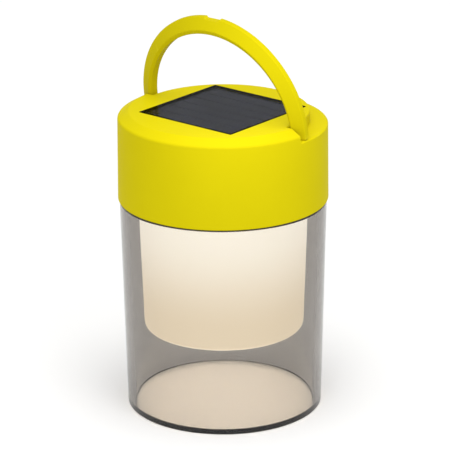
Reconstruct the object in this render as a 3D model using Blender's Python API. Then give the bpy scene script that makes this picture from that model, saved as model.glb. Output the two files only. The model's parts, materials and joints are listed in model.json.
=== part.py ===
"""Solar lantern: a clear jar, a screw-on cap with a solar panel, and a folding bail handle.

Origin: centre of the base, on the surface that the lantern stands on. +Z is up.
The handle turns about a line along X and folds towards +Y. Sizes below are in millimetres.
"""

import math

import bmesh
import bpy
from mathutils import Matrix, Vector

MM = 0.001                # metres in one millimetre: meshes are made in millimetres and then scaled
GAP = 0.3                 # clearance between pieces that rest on each other
ROUND_STEPS = 60          # facets round a large turned piece
HALF_FACET = 180.0 / ROUND_STEPS   # turns a tool so that its edges miss the edges that it cuts
SMALL_STEPS = 16          # facets round a screw, pin or bore

# Jar
BASE_RADIUS = 61.0
SHOULDER_RADIUS = 64.1
SHOULDER_HEIGHT = 133.0
JAR_INNER_BASE = 56.4
JAR_INNER_MOUTH = 59.5
FLOOR_THICKNESS = 2.0
NECK_RADIUS = 61.2
NECK_HEIGHT = 146.0

# Three-start thread between jar and cap
THREAD_STARTS = 3
THREAD_LEAD = 12.0        # rise in one whole turn
THREAD_CREST = 62.3
THREAD_HEIGHT = 1.8
THREAD_START_Z = 138.0
THREAD_SWEEP = 90.0       # degrees of rib for each start
LUG_CREST = 61.5
LUG_HEIGHT = 1.6
LUG_START = 2.0           # degrees after the low end of its rib
LUG_SWEEP = 12.0

# Cap
CAP_RADIUS = 65.0
CAP_TOP_RADIUS = 64.5
CAP_INNER = 62.6
RIM_HEIGHT = SHOULDER_HEIGHT + 1.2
SHOULDER_Z = 186.2        # where the cap's side ends and its bevel starts
TOP_Z = 190.0
FLAT_RADIUS = 57.7        # where the bevel meets the flat top
ROOF_UNDERSIDE = 187.4
CORE_RADIUS = 51.0        # hollow under the roof
LEDGE_UNDERSIDE = 179.5

# Bail handle
PIVOT_Z = 186.4
HANDLE_RADIUS = 64.1
HANDLE_WIDTH = 7.1        # across the arch's plane
HANDLE_EDGE = 3.3         # width of its outer face
HANDLE_BEVEL = 7.4        # how far the bevel reaches in from the outer face
HANDLE_THICKNESS = 9.1    # radial, at the feet
CROWN_EXTRA = 1.15        # more thickness in the middle of the arch
HANDLE_LEAN = 9.2         # degrees past upright, away from the side it folds to
FOOT_RADIUS = 3.6
PIN_RADIUS = 1.5
PIN_INNER_END = 49.9
PIN_OUTER_END = 60.2

# Step in the cap that the handle folds into
STEP_RADIUS = 53.2
LEDGE_Z = 182.3
LEDGE_ROUND = 1.6
STEP_END_Y = -4.5         # the wall that the upright handle leans against

# Solar panel
PANEL_SIDE = 72.3
PANEL_TOP = 190.2
COVER_THICKNESS = 1.4
CELL_THICKNESS = 0.3
BOARD_THICKNESS = 1.2
TAPE_THICKNESS = 0.3
PANEL_WINDOW = 60.0
CELL_COUNT = 6
CELL_FIELD = 66.6         # side of the square that the cells fill
CELL_SPACING = 0.6

# Carrier plate under the cap
PLATE_RADIUS = 58.8
PLATE_Z = 135.6
PLATE_THICKNESS = 3.0
PLATE_TOP = PLATE_Z + PLATE_THICKNESS
BOSS_CIRCLE = 55.4
BOSS_RADIUS = 3.0
BOSS_ANGLES = (90, 210, 330)

# Diffuser
DIFFUSER_LIP = 53.7
DIFFUSER_NECK = 52.5
DIFFUSER_FOOT = 49.7
DIFFUSER_BOTTOM = 50.0
DIFFUSER_WALL = 1.6
DIFFUSER_CORNER = 5.5

# Battery bay and its door
CELL_RADIUS = 7.25
CELL_LENGTH = 50.5
BATTERY_Z = 145.6
BAY_LOW_X = -30.2
BAY_HIGH_X = 27.6
BAY_HALF_Y = 8.0
BAY_ROOF = 153.9
BAY_WALL = 1.6
DOOR_Z = 135.7
DOOR_THICKNESS = 1.5
HINGE_Y = 9.4
HINGE_Z = 136.8
BARREL_RADIUS = 1.1
HINGE_PIN_RADIUS = 0.6

# Light source
STRIP_Y = 24.0
STRIP_SIZE = (60.0, 9.0, 1.0)
LED_SIZE = (3.4, 2.8, 0.8)
LED_PITCH = 20.0

# Switch and control board
SWITCH_Y = -55.4
KNOB_SIZE = (3.0, 2.4)
KNOB_TRAVEL = 3.0
BOARD_LOW = (-26.0, -44.0, 143.0)
BOARD_HIGH = (26.0, -17.0, 144.2)
POST_X = 20.0
POST_Y = -36.0
WIRE_RADIUS = 0.65


# ---------------------------------------------------------------- shaping

def outline(corners, steps=2):
    """A closed outline. A corner given as (x, y, radius) is rounded by an arc."""
    points = []
    for index, corner in enumerate(corners):
        here = Vector(corner[:2])
        if len(corner) == 2:
            points.append(here)
            continue
        before = (Vector(corners[index - 1][:2]) - here).normalized()
        after = (Vector(corners[(index + 1) % len(corners)][:2]) - here).normalized()
        half = before.angle(after) / 2
        reach = corner[2] / math.tan(half)
        centre = here + (before + after).normalized() * corner[2] / math.sin(half)
        start = here + before * reach - centre
        sweep = math.pi - 2 * half
        if before.cross(after) > 0:
            sweep = -sweep
        for step in range(steps + 1):
            points.append(centre + Matrix.Rotation(sweep * step / steps, 2) @ start)
    return points


def spun(corners, angle=360.0, start=0.0, rise=0.0, steps=ROUND_STEPS, round_steps=2):
    """A (radius, height) outline turned about Z: a whole turn, or an arc that may climb."""
    mesh = bmesh.new()
    points = outline(corners, round_steps)
    verts = [mesh.verts.new((point.x, 0, point.y)) for point in points]
    edges = []
    for index, vert in enumerate(verts):
        if points[index - 1].x > 0 or points[index].x > 0:
            edges.append(mesh.edges.new((verts[index - 1], vert)))
    bmesh.ops.rotate(mesh, verts=verts, matrix=Matrix.Rotation(math.radians(start), 3, "Z"))
    bmesh.ops.spin(
        mesh, geom=verts + edges, axis=(0, 0, 1), angle=math.radians(angle),
        dvec=(0, 0, rise / steps), steps=steps, use_merge=angle == 360.0,
    )
    bmesh.ops.remove_doubles(mesh, verts=mesh.verts, dist=1e-4)
    if angle != 360.0:
        bmesh.ops.holes_fill(mesh, edges=mesh.edges)
    bmesh.ops.recalc_face_normals(mesh, faces=mesh.faces)
    return mesh


def block(low, high):
    """A box between two corners."""
    mesh = bmesh.new()
    bmesh.ops.create_cube(mesh, size=1.0)
    size = Vector(high) - Vector(low)
    bmesh.ops.scale(mesh, verts=mesh.verts, vec=size)
    bmesh.ops.translate(mesh, verts=mesh.verts, vec=(Vector(high) + Vector(low)) / 2)
    return mesh


def rod(radius, start, end, steps=SMALL_STEPS):
    """A round bar between two points."""
    start, end = Vector(start), Vector(end)
    turn = (end - start).to_track_quat("Z", "X").to_matrix().to_4x4()
    mesh = bmesh.new()
    bmesh.ops.create_cone(
        mesh, cap_ends=True, segments=steps, radius1=radius, radius2=radius,
        depth=(end - start).length, matrix=Matrix.Translation((start + end) / 2) @ turn,
    )
    return mesh


def extruded(corners, low_y, high_y):
    """An (x, z) outline extruded along Y."""
    mesh = bmesh.new()
    face = mesh.faces.new([mesh.verts.new((point.x, low_y, point.y)) for point in outline(corners)])
    grown = bmesh.ops.extrude_face_region(mesh, geom=[face])["geom"]
    moved = [item for item in grown if isinstance(item, bmesh.types.BMVert)]
    bmesh.ops.translate(mesh, verts=moved, vec=(0, high_y - low_y, 0))
    bmesh.ops.recalc_face_normals(mesh, faces=mesh.faces)
    return mesh


def keep_side(mesh, y, sign):
    """Keeps what lies beyond the plane at y, on the side that sign gives, and closes the cut."""
    bmesh.ops.bisect_plane(
        mesh, geom=mesh.verts[:] + mesh.edges[:] + mesh.faces[:], plane_co=(0, y, 0),
        plane_no=(0, sign, 0), clear_inner=True,
    )
    bmesh.ops.holes_fill(mesh, edges=mesh.edges)
    bmesh.ops.recalc_face_normals(mesh, faces=mesh.faces)
    return mesh


# ---------------------------------------------------------------- objects

def paint(name, colour, roughness, metallic=0.0, alpha=1.0):
    """A Principled material for one piece."""
    material = bpy.data.materials.new(name)
    material.use_nodes = True
    shader = material.node_tree.nodes["Principled BSDF"]
    shader.inputs["Base Color"].default_value = (*colour, 1.0)
    shader.inputs["Roughness"].default_value = roughness
    shader.inputs["Metallic"].default_value = metallic
    shader.inputs["Alpha"].default_value = alpha
    return material


def place(name, mesh, origin=(0, 0, 0), parent=None):
    """Turns a bmesh in millimetres into an object in metres whose origin is at the given point."""
    bmesh.ops.translate(mesh, verts=mesh.verts, vec=-Vector(origin))
    bmesh.ops.scale(mesh, verts=mesh.verts, vec=(MM, MM, MM))
    data = bpy.data.meshes.new(name)
    mesh.to_mesh(data)
    mesh.free()
    data.shade_smooth()
    data.set_sharp_from_angle(angle=math.radians(30))
    item = bpy.data.objects.new(name, data)
    bpy.context.collection.objects.link(item)
    item.location = Vector(origin) * MM
    if parent:
        item.parent = parent
        item.location -= parent.location
    return item


def piece(name, mesh, material, origin=(0, 0, 0), parent=None):
    """A finished piece with its own material."""
    item = place(name, mesh, origin, parent)
    item.data.materials.append(material)
    return item


def combine(item, tool, operation):
    """Adds a bmesh to a piece, or takes it away, with a Boolean modifier."""
    count = len(item.modifiers) + 1
    cutter = place(f"{item.name}_{operation.lower()}_{count}", tool)
    cutter.hide_render = True
    cutter.display_type = "WIRE"
    modifier = item.modifiers.new(cutter.name, "BOOLEAN")
    modifier.operation = operation
    modifier.solver = "EXACT"
    modifier.object = cutter


def cut(item, tool):
    combine(item, tool, "DIFFERENCE")


def join(item, tool):
    combine(item, tool, "UNION")


def empty(name, location, parent=None):
    """A mark on a joint's axis that the pieces of one moving body are parented to."""
    mark = bpy.data.objects.new(name, None)
    bpy.context.collection.objects.link(mark)
    mark.location = Vector(location) * MM
    mark.parent = parent
    return mark


def on_circle(radius, degrees, z):
    """A point on a circle round the Z axis."""
    angle = math.radians(degrees)
    return (radius * math.cos(angle), radius * math.sin(angle), z)


# ---------------------------------------------------------------- jar

def make_jar():
    jar = piece("jar", spun([
        (0, 0), (BASE_RADIUS, 0, 0.5), (SHOULDER_RADIUS, SHOULDER_HEIGHT, 0.5),
        (NECK_RADIUS, SHOULDER_HEIGHT), (NECK_RADIUS, NECK_HEIGHT, 0.5),
        (JAR_INNER_MOUTH, NECK_HEIGHT, 0.4), (JAR_INNER_BASE, FLOOR_THICKNESS, 0.8),
        (0, FLOOR_THICKNESS),
    ]), paint("smoked_clear", (0.55, 0.50, 0.46), 0.05, alpha=0.35))
    for start in range(THREAD_STARTS):
        join(jar, thread_rib(start * 360.0 / THREAD_STARTS + HALF_FACET))


def thread_rib(start):
    """One climbing rib of the jar's thread."""
    root = NECK_RADIUS - 0.4
    low, high = THREAD_START_Z, THREAD_START_Z + THREAD_HEIGHT
    return spun(
        [(root, low), (THREAD_CREST, low + 0.25), (THREAD_CREST, high - 0.25), (root, high)],
        angle=THREAD_SWEEP, start=start, rise=THREAD_LEAD * THREAD_SWEEP / 360.0,
        steps=round(THREAD_SWEEP / 6),
    )


def make_seal():
    piece("seal_ring", spun([
        (NECK_RADIUS + 0.4, SHOULDER_HEIGHT + GAP), (CAP_RADIUS + 0.15, SHOULDER_HEIGHT + GAP),
        (CAP_RADIUS + 0.15, RIM_HEIGHT - GAP), (NECK_RADIUS + 0.4, RIM_HEIGHT - GAP),
    ]), paint("seal_rubber", (0.05, 0.045, 0.04), 0.6))


# ---------------------------------------------------------------- cap

def make_cap(cap):
    shell = piece("cap_shell", spun([
        (CAP_RADIUS, RIM_HEIGHT, 0.5), (CAP_TOP_RADIUS, SHOULDER_Z, 2.0),
        (FLAT_RADIUS, TOP_Z, 2.0), (0, TOP_Z), (0, ROOF_UNDERSIDE),
        (CORE_RADIUS, ROOF_UNDERSIDE), (CORE_RADIUS, LEDGE_UNDERSIDE),
        (CAP_INNER - 0.4, LEDGE_UNDERSIDE), (CAP_INNER, RIM_HEIGHT),
    ]), paint("yellow_cap", (0.85, 0.76, 0.02), 0.4), parent=cap)
    hollow = [
        (CORE_RADIUS - 1, LEDGE_UNDERSIDE - 1), (60.6, LEDGE_UNDERSIDE - 1),
        (60.6, 185.0), (58.4, 186.9), (CORE_RADIUS - 1, 186.9),
    ]
    cut(shell, keep_side(spun(hollow, start=HALF_FACET), STEP_END_Y - 2.0, -1))
    cut(shell, keep_side(spun(step_outline(), start=HALF_FACET), STEP_END_Y, 1))
    join(shell, panel_pocket())
    half = PANEL_SIDE / 2 + GAP
    cut(shell, block((-half, -half, panel_floor()), (half, half, TOP_Z + 3)))
    half = PANEL_WINDOW / 2
    cut(shell, block((-half, -half, panel_floor() - 4), (half, half, panel_floor() + 1)))
    for side in (-1, 1):
        ends = sorted((side * 48.0, side * (STEP_RADIUS - 0.7)))
        join(shell, block((ends[0], -4.5, 181.0), (ends[1], 4.5, 189.0)))
        cut(shell, rod(PIN_RADIUS + GAP, (side * (PIN_INNER_END - GAP), 0, PIVOT_Z),
                       (side * (STEP_RADIUS + 2), 0, PIVOT_Z)))
    for angle in BOSS_ANGLES:
        top = LEDGE_UNDERSIDE + 1.5 if angle == 90 else ROOF_UNDERSIDE + 0.1
        x, y, z = on_circle(BOSS_CIRCLE, angle, PLATE_TOP + 0.4)
        join(shell, rod(BOSS_RADIUS, (x, y, z), (x, y, top)))
        cut(shell, rod(1.3, (x, y, z - 1), (x, y, z + 11)))
    for start in range(THREAD_STARTS):
        join(shell, thread_lug(start * 360.0 / THREAD_STARTS + HALF_FACET + LUG_START))


def step_outline():
    """Section of the step: a ledge with a rounded outer edge, and everything above it."""
    centre_x, centre_z = CAP_TOP_RADIUS - LEDGE_ROUND + 0.2, LEDGE_Z - LEDGE_ROUND
    arc = [
        (centre_x + LEDGE_ROUND * math.cos(angle), centre_z + LEDGE_ROUND * math.sin(angle))
        for angle in (math.radians(90 - 18 * step) for step in range(6))
    ]
    return [(STEP_RADIUS, LEDGE_Z, 0.6)] + arc + [
        (CAP_RADIUS + 4, centre_z), (CAP_RADIUS + 4, TOP_Z + 3), (STEP_RADIUS, TOP_Z + 3),
    ]


def panel_floor():
    """Height of the ledge that the panel is bonded to."""
    stack = COVER_THICKNESS + CELL_THICKNESS + BOARD_THICKNESS + TAPE_THICKNESS
    return PANEL_TOP - stack - 4 * GAP


def panel_pocket():
    """Solid block under the roof that the panel's pocket is cut in, kept inside the step's wall."""
    mesh = spun([(0, panel_floor() - 2), (STEP_RADIUS - 0.1, panel_floor() - 2),
                 (STEP_RADIUS - 0.1, TOP_Z - 0.5), (0, TOP_Z - 0.5)], start=HALF_FACET)
    half = PANEL_SIDE / 2 + 2.3
    for normal in ((1, 0, 0), (-1, 0, 0), (0, 1, 0), (0, -1, 0)):
        bmesh.ops.bisect_plane(
            mesh, geom=mesh.verts[:] + mesh.edges[:] + mesh.faces[:],
            plane_co=Vector(normal) * half, plane_no=normal, clear_outer=True,
        )
        bmesh.ops.holes_fill(mesh, edges=mesh.edges)
    bmesh.ops.recalc_face_normals(mesh, faces=mesh.faces)
    return mesh


def thread_lug(start):
    """One lug inside the cap's rim, riding under a rib of the jar."""
    rise = THREAD_LEAD / 360.0
    top = THREAD_START_Z + LUG_START * rise
    low = top - LUG_HEIGHT
    root = CAP_INNER + 0.6
    return spun(
        [(LUG_CREST, low + 0.25), (root, low), (root, top), (LUG_CREST, top - 0.25)],
        angle=LUG_SWEEP, start=start, rise=LUG_SWEEP * rise, steps=4,
    )


# ---------------------------------------------------------------- handle

def make_handle(handle_joint):
    """The bail, made upright about its pivot line and then leaned past upright."""
    yellow = paint("yellow_handle", (0.85, 0.76, 0.02), 0.4)
    handle = piece("handle", arch_mesh(), yellow)
    handle.parent = handle_joint
    combine(handle, foot_trim(), "DIFFERENCE")
    combine(handle, finger_notch(), "DIFFERENCE")
    for side in (-1, 1):
        combine(handle, rod(PIN_RADIUS + 0.05, (side * 53, 0, 0), (side * (PIN_OUTER_END + 0.3), 0, 0)),
                "DIFFERENCE")
    for modifier in handle.modifiers:
        modifier.object.parent = handle_joint
    for name, side in (("pivot_pin_left", -1), ("pivot_pin_right", 1)):
        pin = piece(name, rod(PIN_RADIUS, (side * PIN_INNER_END, 0, 0), (side * PIN_OUTER_END, 0, 0)),
                    paint(name + "_steel", (0.6, 0.6, 0.62), 0.3, 1.0))
        pin.parent = handle_joint
    handle_joint.rotation_euler.x = math.radians(HANDLE_LEAN)


def arch_mesh():
    """Half a ring with a bevelled section, thicker in the middle, with straight feet below."""
    front = HANDLE_WIDTH / 2
    section = outline([
        (HANDLE_RADIUS, front, 0.5), (HANDLE_RADIUS, front - HANDLE_EDGE, 0.7),
        (HANDLE_RADIUS - HANDLE_BEVEL, -front, 0.6),
        (HANDLE_RADIUS - HANDLE_THICKNESS, 1.1 - front, 0.5),
        (HANDLE_RADIUS - HANDLE_THICKNESS, front, 0.6),
    ], steps=2)
    mesh = bmesh.new()
    verts = [mesh.verts.new((point.x, point.y, 0)) for point in section]
    edges = [mesh.edges.new((verts[index - 1], vert)) for index, vert in enumerate(verts)]
    bmesh.ops.spin(mesh, geom=verts + edges, axis=(0, -1, 0), angle=math.pi, steps=44)
    bevel_end = HANDLE_RADIUS - HANDLE_BEVEL
    for vert in mesh.verts:
        radius = math.hypot(vert.co.x, vert.co.z)
        share = (bevel_end - radius) / (HANDLE_THICKNESS - HANDLE_BEVEL)
        if share > 0.05:
            crown = (vert.co.z / radius) ** 2 * CROWN_EXTRA * share
            vert.co.x *= (radius - crown) / radius
            vert.co.z *= (radius - crown) / radius
    ends = [edge for edge in mesh.edges if edge.is_boundary]
    grown = bmesh.ops.extrude_edge_only(mesh, edges=ends)["geom"]
    moved = [item for item in grown if isinstance(item, bmesh.types.BMVert)]
    bmesh.ops.translate(mesh, verts=moved, vec=(0, 0, -FOOT_RADIUS - 0.8))
    bmesh.ops.holes_fill(mesh, edges=mesh.edges)
    bmesh.ops.recalc_face_normals(mesh, faces=mesh.faces)
    return mesh


def foot_trim():
    """What is cut off below the pivot line so that both feet end in an arc about it."""
    arc = [
        (FOOT_RADIUS * math.cos(angle), FOOT_RADIUS * math.sin(angle))
        for angle in (math.radians(180 + 15 * step) for step in range(13))
    ]
    mesh = extruded(arc + [(6, 0), (6, -7), (-6, -7), (-6, 0)], -70, 70)
    bmesh.ops.rotate(mesh, verts=mesh.verts, matrix=Matrix.Rotation(math.pi / 2, 3, "Z"))
    return mesh


def finger_notch():
    """A shallow step in the outer edge, to lift the folded handle by."""
    return extruded([
        (-6.2, HANDLE_RADIUS + 2), (-5.5, HANDLE_RADIUS - 1.6, 0.8),
        (5.5, HANDLE_RADIUS - 1.6, 0.8), (6.2, HANDLE_RADIUS + 2),
    ], -6, 6)


# ---------------------------------------------------------------- solar panel

def make_panel(cap):
    half = PANEL_SIDE / 2
    cover_low = PANEL_TOP - COVER_THICKNESS
    cell_high = cover_low - GAP
    board_high = cell_high - CELL_THICKNESS - GAP
    board_low = board_high - BOARD_THICKNESS
    piece("panel_cover", block((-half, -half, cover_low), (half, half, PANEL_TOP)),
          paint("panel_glaze", (0.06, 0.065, 0.08), 0.12), parent=cap)
    pitch = CELL_FIELD / CELL_COUNT
    for index in range(CELL_COUNT):
        low_y = -CELL_FIELD / 2 + index * pitch + CELL_SPACING / 2
        piece(f"solar_cell_{index + 1}",
              block((-CELL_FIELD / 2, low_y, cell_high - CELL_THICKNESS),
                    (CELL_FIELD / 2, low_y + pitch - CELL_SPACING, cell_high)),
              paint(f"silicon_{index + 1}", (0.03, 0.035, 0.06), 0.25), parent=cap)
    piece("panel_board", block((-half, -half, board_low), (half, half, board_high)),
          paint("panel_black", (0.02, 0.02, 0.022), 0.5), parent=cap)
    tape = piece("panel_tape", block((-half, -half, panel_floor() + GAP),
                                     (half, half, panel_floor() + GAP + TAPE_THICKNESS)),
                 paint("foam_tape", (0.08, 0.08, 0.08), 0.9), parent=cap)
    window = PANEL_WINDOW / 2 + 1
    cut(tape, block((-window, -window, panel_floor() - 1), (window, window, board_low)))


# ---------------------------------------------------------------- carrier plate

def make_carrier(cap):
    plate = piece("carrier_plate", spun([
        (0, PLATE_Z), (PLATE_RADIUS, PLATE_Z, 0.4), (PLATE_RADIUS, PLATE_TOP, 0.4), (0, PLATE_TOP),
    ]), paint("white_inner", (0.82, 0.82, 0.80), 0.5), parent=cap)
    join(plate, spun([(50.0, 131.5), (51.3, 131.5), (51.3, PLATE_Z + 1), (50.0, PLATE_Z + 1)],
                     start=HALF_FACET))
    bay_half = HINGE_Y + 2.2
    join(plate, block((BAY_LOW_X - BAY_WALL, -bay_half, PLATE_TOP - 1),
                      (BAY_HIGH_X + BAY_WALL, bay_half, BAY_ROOF + BAY_WALL)))
    cut(plate, block((BAY_LOW_X, -BAY_HALF_Y, PLATE_Z - 1), (BAY_HIGH_X, BAY_HALF_Y, BAY_ROOF)))
    low_x, high_x = door_ends()
    cut(plate, block((low_x - GAP, -9.9, PLATE_Z - 1), (high_x + GAP, HINGE_Y + 1.6, 138.2)))
    cut(plate, block((-5.4, -11.8, PLATE_Z - 1), (5.4, -9.5, 137.0)))
    cut(plate, rod(HINGE_PIN_RADIUS + GAP, (low_x - 3, HINGE_Y, HINGE_Z), (high_x + 3, HINGE_Y, HINGE_Z), 12))
    for x in contact_places():
        cut(plate, rod(1.4, (x, 0, BAY_ROOF - 1.5), (x, 0, BAY_ROOF + 3), 12))
    for side in (-1, 1):
        cut(plate, rod(1.2, (22, side * STRIP_Y, PLATE_Z - 1), (22, side * STRIP_Y, PLATE_TOP + 1), 12))
        join(plate, rod(2.6, (side * POST_X, POST_Y, PLATE_TOP - 1), (side * POST_X, POST_Y, 142.7)))
        cut(plate, rod(1.05, (side * POST_X, POST_Y, 139.3), (side * POST_X, POST_Y, 143.5), 12))
    for angle in BOSS_ANGLES:
        x, y, _ = on_circle(BOSS_CIRCLE, angle, 0)
        cut(plate, rod(1.5, (x, y, PLATE_Z - 1), (x, y, PLATE_TOP + 1)))
        cut(plate, rod(2.6, (x, y, PLATE_Z - 1), (x, y, PLATE_TOP - 1.1)))
    reach = KNOB_SIZE[0] / 2 + GAP
    wide = KNOB_SIZE[1] / 2 + GAP
    cut(plate, block((-reach, SWITCH_Y - wide, PLATE_Z - 1),
                     (reach + KNOB_TRAVEL, SWITCH_Y + wide, PLATE_TOP + 1)))
    for index, angle in enumerate(BOSS_ANGLES):
        x, y, _ = on_circle(BOSS_CIRCLE, angle, 0)
        screw(f"carrier_screw_{index + 1}", (x, y), PLATE_Z + 0.1, 1.5, 2.2, 1.2, 10.0, 1, cap)


def screw(name, place_xy, head_z, head_height, head_radius, shank_radius, length, way, parent):
    """A pan-head screw: its head starts at head_z, and its shank runs on along +Z or -Z."""
    x, y = place_xy
    tip = head_z + way * (head_height + length)
    item = piece(name, rod(head_radius, (x, y, head_z), (x, y, head_z + way * head_height)),
                 paint(name + "_steel", (0.62, 0.62, 0.64), 0.3, 1.0), parent=parent)
    join(item, rod(shank_radius, (x, y, head_z + way * 0.5), (x, y, tip), 12))
    low, high = sorted((head_z - way, head_z + way * 0.5))
    cut(item, block((x - 0.3, y - head_radius - 1, low), (x + 0.3, y + head_radius + 1, high)))


def door_ends():
    """The two ends of the battery door along X."""
    return BAY_LOW_X - 0.8, BAY_HIGH_X + 0.8


def contact_places():
    """X of the middle of each battery contact: negative, positive."""
    return BAY_LOW_X + GAP + 0.25, BAY_HIGH_X - 0.95


# ---------------------------------------------------------------- battery

def make_battery(cap):
    negative_x, positive_x = contact_places()
    for name, x in (("contact_negative", negative_x), ("contact_positive", positive_x)):
        piece(name, block((x - 0.25, -6, 140.5), (x + 0.25, 6, 152.5)),
              paint(name + "_nickel", (0.7, 0.68, 0.62), 0.3, 1.0), parent=cap)
    tip = positive_x - 0.25 - GAP
    end = tip - CELL_LENGTH
    cell = piece("battery_cell", rod(CELL_RADIUS, (end, 0, BATTERY_Z), (tip - 1.1, 0, BATTERY_Z), 32),
                 paint("cell_sleeve", (0.12, 0.35, 0.16), 0.35), parent=cap)
    join(cell, rod(2.7, (tip - 2, 0, BATTERY_Z), (tip, 0, BATTERY_Z)))
    coil_spring(negative_x + 0.25 + GAP, end - GAP, cap)


def coil_spring(start, end, cap):
    """Conical spring between the negative contact and the cell's flat end."""
    turns, steps, wire = 2.5, 12, 0.35
    count = int(turns * steps)
    points = []
    for index in range(count + 1):
        share = index / count
        angle = 2 * math.pi * turns * share
        radius = 4.6 - 1.8 * share
        points.append((start + wire + (end - start - 2 * wire) * share,
                       radius * math.cos(angle), BATTERY_Z + radius * math.sin(angle)))
    tube("battery_spring", points, wire, paint("spring_steel", (0.66, 0.65, 0.62), 0.3, 1.0), cap)


def make_door(cap):
    low_x, high_x = door_ends()
    hinge = (0, HINGE_Y, HINGE_Z)
    door = piece("battery_door", block((low_x, -9.5, DOOR_Z), (high_x, HINGE_Y - 0.4, DOOR_Z + DOOR_THICKNESS)),
                 paint("white_door", (0.80, 0.80, 0.78), 0.5), origin=hinge, parent=cap)
    join(door, rod(BARREL_RADIUS, (low_x, HINGE_Y, HINGE_Z), (high_x, HINGE_Y, HINGE_Z)))
    join(door, block((-5, -11.3, DOOR_Z), (5, -9.2, DOOR_Z + 0.9)))
    cut(door, rod(HINGE_PIN_RADIUS + 0.15, (low_x - 2, HINGE_Y, HINGE_Z), (high_x + 2, HINGE_Y, HINGE_Z), 12))
    piece("door_hinge_pin", rod(HINGE_PIN_RADIUS, (low_x - 2.5, HINGE_Y, HINGE_Z),
                                (high_x + 2.5, HINGE_Y, HINGE_Z), 12),
          paint("hinge_pin_steel", (0.62, 0.62, 0.64), 0.3, 1.0), parent=cap)


# ---------------------------------------------------------------- light and electronics

def make_light(cap):
    length, width, thickness = STRIP_SIZE
    strip_high = PLATE_Z - GAP
    led_high = strip_high - thickness - GAP
    number = 0
    for name, side in (("led_strip_front", -1), ("led_strip_rear", 1)):
        y = side * STRIP_Y
        piece(name, block((-length / 2, y - width / 2, strip_high - thickness),
                          (length / 2, y + width / 2, strip_high)),
              paint(name + "_white", (0.85, 0.85, 0.82), 0.4), parent=cap)
        for column in (-1, 0, 1):
            number += 1
            x = column * LED_PITCH
            piece(f"led_{number}", block((x - LED_SIZE[0] / 2, y - LED_SIZE[1] / 2, led_high - LED_SIZE[2]),
                                         (x + LED_SIZE[0] / 2, y + LED_SIZE[1] / 2, led_high)),
                  paint(f"led_{number}_phosphor", (0.95, 0.80, 0.30), 0.4), parent=cap)


def make_diffuser(cap):
    wall, foot, bottom = DIFFUSER_WALL, DIFFUSER_FOOT, DIFFUSER_BOTTOM
    top = PLATE_Z - GAP
    piece("diffuser", spun([
        (0, bottom), (foot, bottom, DIFFUSER_CORNER), (DIFFUSER_NECK, 125.0), (DIFFUSER_LIP, 133.0),
        (DIFFUSER_LIP, top), (DIFFUSER_LIP - wall, top), (DIFFUSER_LIP - wall, 133.0),
        (DIFFUSER_NECK - wall, 125.0), (foot - wall, bottom + wall, DIFFUSER_CORNER - wall),
        (0, bottom + wall),
    ], round_steps=4), paint("opal", (0.93, 0.90, 0.83), 0.45), parent=cap)


def make_switch(cap):
    piece("switch_body", block((-4.2, SWITCH_Y - 2.6, PLATE_TOP + GAP), (7.2, SWITCH_Y + 2.6, 142.5)),
          paint("switch_black", (0.03, 0.03, 0.03), 0.5), parent=cap)
    half_x, half_y = KNOB_SIZE[0] / 2, KNOB_SIZE[1] / 2
    piece("switch_knob", block((-half_x, SWITCH_Y - half_y, 133.6), (half_x, SWITCH_Y + half_y, PLATE_TOP)),
          paint("knob_black", (0.04, 0.04, 0.04), 0.45), origin=(0, SWITCH_Y, PLATE_Z), parent=cap)


def make_electronics(cap):
    board = piece("control_board", block(BOARD_LOW, BOARD_HIGH),
                  paint("board_green", (0.05, 0.22, 0.10), 0.4), parent=cap)
    top = BOARD_HIGH[2] + GAP
    for index, x in enumerate((-POST_X, POST_X)):
        cut(board, rod(1.25, (x, POST_Y, BOARD_LOW[2] - 1), (x, POST_Y, top), 12))
        screw(f"board_screw_{index + 1}", (x, POST_Y), top + 1.2, 1.2, 1.9, 0.95, 4.6, -1, cap)
    piece("control_chip", block((-6.5, -33, top), (-1.5, -29, top + 1.5)),
          paint("chip_black", (0.02, 0.02, 0.02), 0.5), parent=cap)
    piece("inductor", rod(3.0, (9, -31, top), (9, -31, top + 4)),
          paint("ferrite", (0.06, 0.06, 0.065), 0.6), parent=cap)
    piece("capacitor", rod(2.5, (15, -38, top), (15, -38, top + 7)),
          paint("capacitor_sleeve", (0.03, 0.04, 0.12), 0.35), parent=cap)


# ---------------------------------------------------------------- wires

def tube(name, points, radius, material, cap):
    """A round wire along a list of points, with closed ends."""
    curve = bpy.data.curves.new(name, "CURVE")
    curve.dimensions = "3D"
    curve.bevel_depth = radius * MM
    curve.bevel_resolution = 2
    curve.use_fill_caps = True
    spline = curve.splines.new("POLY")
    spline.points.add(len(points) - 1)
    for spot, point in zip(spline.points, points):
        spot.co = (*(Vector(point) * MM), 1.0)
    item = bpy.data.objects.new(name, curve)
    bpy.context.collection.objects.link(item)
    item.data.materials.append(material)
    item.parent = cap


def smooth_route(stations, count):
    """Evenly spread points on a Catmull-Rom curve through the stations."""
    ends = [Vector(station) for station in stations]
    ends = [2 * ends[0] - ends[1]] + ends + [2 * ends[-1] - ends[-2]]
    spans = len(stations) - 1
    points = []
    for index in range(count + 1):
        place_on = min(index / count * spans, spans - 1e-6)
        span = int(place_on)
        t = place_on - span
        a, b, c, d = ends[span:span + 4]
        points.append(0.5 * (2 * b + (c - a) * t + (2 * a - 5 * b + 4 * c - d) * t * t
                             + (3 * b - a - 3 * c + d) * t ** 3))
    return points


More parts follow.
